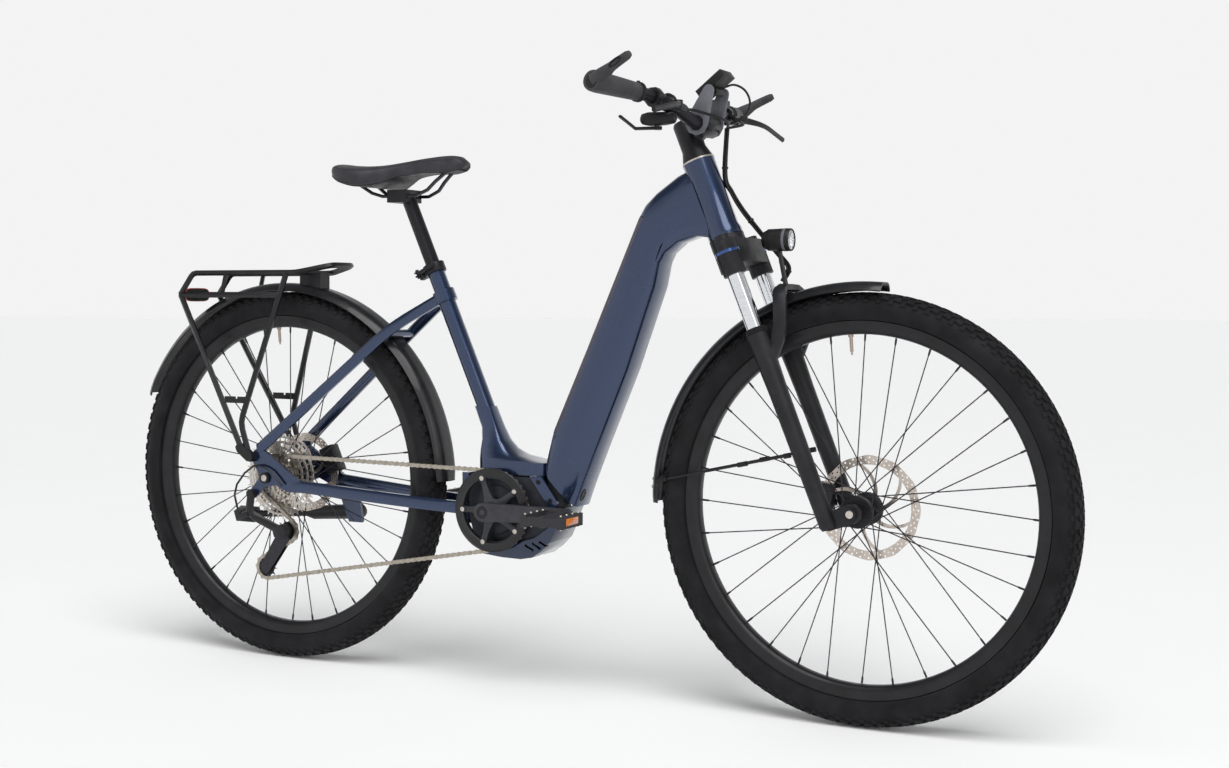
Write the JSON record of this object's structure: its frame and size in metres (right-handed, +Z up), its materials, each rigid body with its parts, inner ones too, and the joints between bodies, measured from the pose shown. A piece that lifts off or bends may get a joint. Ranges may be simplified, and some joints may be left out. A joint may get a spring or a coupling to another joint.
{
  "type": "touring bicycle",
  "caption": "Step-through touring bicycle with a mid drive motor, in-tube battery, suspension fork, disc brakes, mudguards, rear rack, side stand and lamps.",
  "frame": {"origin": "on the ground midway between the two axles, in the bicycle's middle plane", "axes": "+X forward along the bicycle, +Y to the rider's left, +Z up; the drive side is at negative Y"},
  "size_m": [1.9324, 0.6372, 1.1138],
  "materials": {
    "frame_paint": "glossy metallic",
    "black_alloy": "satin",
    "black_plastic": "fine grained",
    "motor_shell": "satin",
    "bay_cover": "fine grained",
    "tyre_rubber": "knobbed tread",
    "grip_rubber": "soft",
    "saddle_skin": "matt cover on foam",
    "steel": "bare",
    "chrome": "polished",
    "dark_steel": "dark",
    "red_lens": "clear red",
    "lamp": "black body",
    "grey_alloy": "anodised",
    "cable": "smooth sheath"
  },
  "bodies": {
    "frame": {"head_tube": "frame_paint", "down_tube": "frame_paint", "seat_tube": "frame_paint", "chain_stays": "frame_paint", "seat_stays": "frame_paint", "motor": "motor_shell", "motor_cover": "frame_paint", "seat_clamp": "black_alloy", "rear_mudguard": "black_plastic", "rack": "black_alloy", "tail_light": "red_lens", "rear_brake_caliper": "black_alloy", "rear_axle": "black_alloy", "derailleur_body": "black_alloy", "chain": "steel"},
    "battery": {"battery_pack": "black_plastic", "battery_cover": "bay_cover"},
    "clamp_lever": {"seat_clamp_lever": "black_alloy"},
    "seat": {"seat_post": "black_alloy", "saddle_rails": "dark_steel", "saddle": "saddle_skin"},
    "rear_wheel": {"rear_tyre": "tyre_rubber", "rear_rim": "black_alloy", "rear_hub": "dark_steel", "rear_rotor": "steel"},
    "cassette": {"cassette": "steel"},
    "cranks": {"chainring": "dark_steel", "right_crank": "grey_alloy", "left_crank": "grey_alloy"},
    "right_pedal_body": {"right_pedal": "black_plastic"},
    "left_pedal_body": {"left_pedal": "black_plastic"},
    "cage": {"derailleur_cage": "dark_steel"},
    "upper_jockey": {"upper_jockey_wheel": "black_plastic"},
    "lower_jockey": {"lower_jockey_wheel": "black_plastic"},
    "stand": {"side_stand": "black_alloy"},
    "steering": {"fork_crown": "black_alloy", "right_stanchion": "chrome", "left_stanchion": "chrome", "stem": "black_alloy", "handlebar": "black_alloy", "right_grip": "grip_rubber", "left_grip": "grip_rubber", "right_brake_body": "black_alloy", "left_brake_body": "black_alloy", "shifter": "black_plastic", "display_bracket": "grey_alloy", "control_cables": "cable"},
    "shift_lever_body": {"shift_lever": "black_plastic"},
    "display_body": {"display": "black_plastic"},
    "right_lever_body": {"right_brake_lever": "black_alloy"},
    "left_lever_body": {"left_brake_lever": "black_alloy"},
    "fork": {"fork_lowers": "black_alloy", "front_mudguard": "black_plastic", "head_light": "lamp", "front_brake_caliper": "black_alloy", "front_axle": "black_alloy"},
    "front_wheel": {"front_tyre": "tyre_rubber", "front_rim": "black_alloy", "front_hub": "dark_steel", "front_rotor": "steel"}
  },
  "joints": [
    {"name": "battery_swing", "type": "hinge", "parent": "frame", "child": "battery", "pos_m": [0.02063, 0, 0.48248], "axis": [0, -1, 0], "range_deg": [0, 12]},
    {"name": "clamp_lever_turn", "type": "hinge", "parent": "frame", "child": "clamp_lever", "pos_m": [-0.27602, -0.02, 0.76531], "axis": [0.4019, 0, -0.9157], "range_deg": [0, 90]},
    {"name": "seat_height", "type": "slide", "parent": "frame", "child": "seat", "axis": [-0.4019, 0, 0.9157], "range_m": [-0.1, 0.08]},
    {"name": "rear_wheel_spin", "type": "hinge", "parent": "frame", "child": "rear_wheel", "pos_m": [-0.6, 0, 0.36623], "axis": [0, 1, 0], "continuous": true},
    {"name": "cassette_spin", "type": "hinge", "parent": "frame", "child": "cassette", "pos_m": [-0.6, 0, 0.36623], "axis": [0, 1, 0], "continuous": true},
    {"name": "crank_spin", "type": "hinge", "parent": "frame", "child": "cranks", "pos_m": [-0.09328, 0, 0.33023], "axis": [0, 1, 0], "continuous": true, "deforming": ["chain"]},
    {"name": "right_pedal_spin", "type": "hinge", "parent": "cranks", "child": "right_pedal_body", "pos_m": [0.0792, -0.137, 0.33324], "axis": [0, 1, 0], "continuous": true},
    {"name": "left_pedal_spin", "type": "hinge", "parent": "cranks", "child": "left_pedal_body", "pos_m": [-0.26575, 0.137, 0.32722], "axis": [0, 1, 0], "continuous": true},
    {"name": "cage_swing", "type": "hinge", "parent": "frame", "child": "cage", "pos_m": [-0.569, 0, 0.26023], "axis": [0, 1, 0], "range_deg": [-12, 30], "stiffness_Nm_per_rad": 2, "deforming": ["chain"]},
    {"name": "upper_jockey_spin", "type": "hinge", "parent": "cage", "child": "upper_jockey", "pos_m": [-0.569, -0.046, 0.26023], "axis": [0, 1, 0], "continuous": true},
    {"name": "lower_jockey_spin", "type": "hinge", "parent": "cage", "child": "lower_jockey", "pos_m": [-0.62081, -0.046, 0.1842], "axis": [0, 1, 0], "continuous": true},
    {"name": "stand_swing", "type": "hinge", "parent": "frame", "child": "stand", "pos_m": [-0.504, 0.099, 0.28623], "axis": [0, -0.9354, -0.3535], "range_deg": [0, 91], "stiffness_Nm_per_rad": 1.5, "springref_deg": -34.38},
    {"name": "steering_turn", "type": "hinge", "parent": "frame", "child": "steering", "pos_m": [0.3492, 0, 0.82681], "axis": [-0.3746, 0, 0.9272], "range_deg": [-60, 60], "deforming": ["control_cables"]},
    {"name": "shift_lever_press", "type": "hinge", "parent": "steering", "child": "shift_lever_body", "pos_m": [0.2705, -0.112, 1.02446], "axis": [0, 0, 1], "range_deg": [0, 20], "stiffness_Nm_per_rad": 1.5, "springref_deg": -17.19},
    {"name": "display_tilt", "type": "hinge", "parent": "steering", "child": "display_body", "pos_m": [0.32893, 0, 1.07821], "axis": [0, 1, 0], "range_deg": [-25, 25]},
    {"name": "right_lever_pull", "type": "hinge", "parent": "steering", "child": "right_lever_body", "pos_m": [0.32128, -0.1408, 1.04309], "axis": [0, 0, 1], "range_deg": [0, 20], "stiffness_Nm_per_rad": 3, "springref_deg": -17.19},
    {"name": "left_lever_pull", "type": "hinge", "parent": "steering", "child": "left_lever_body", "pos_m": [0.32128, 0.1408, 1.04309], "axis": [0, 0, -1], "range_deg": [0, 20], "stiffness_Nm_per_rad": 3, "springref_deg": -17.19},
    {"name": "fork_travel", "type": "slide", "parent": "steering", "child": "fork", "axis": [-0.3746, 0, 0.9272], "range_m": [0, 0.075], "stiffness_N_per_m": 9000, "springref_m": -0.03, "deforming": ["control_cables"]},
    {"name": "front_wheel_spin", "type": "hinge", "parent": "fork", "child": "front_wheel", "pos_m": [0.6, 0, 0.36623], "axis": [0, 1, 0], "continuous": true}
  ],
  "couplings": [
    {"joint": "cassette_spin", "follows": "crank_spin", "ratio": 1.7143},
    {"joint": "upper_jockey_spin", "follows": "crank_spin", "ratio": -3.2727},
    {"joint": "lower_jockey_spin", "follows": "crank_spin", "ratio": 3.2727}
  ]
}
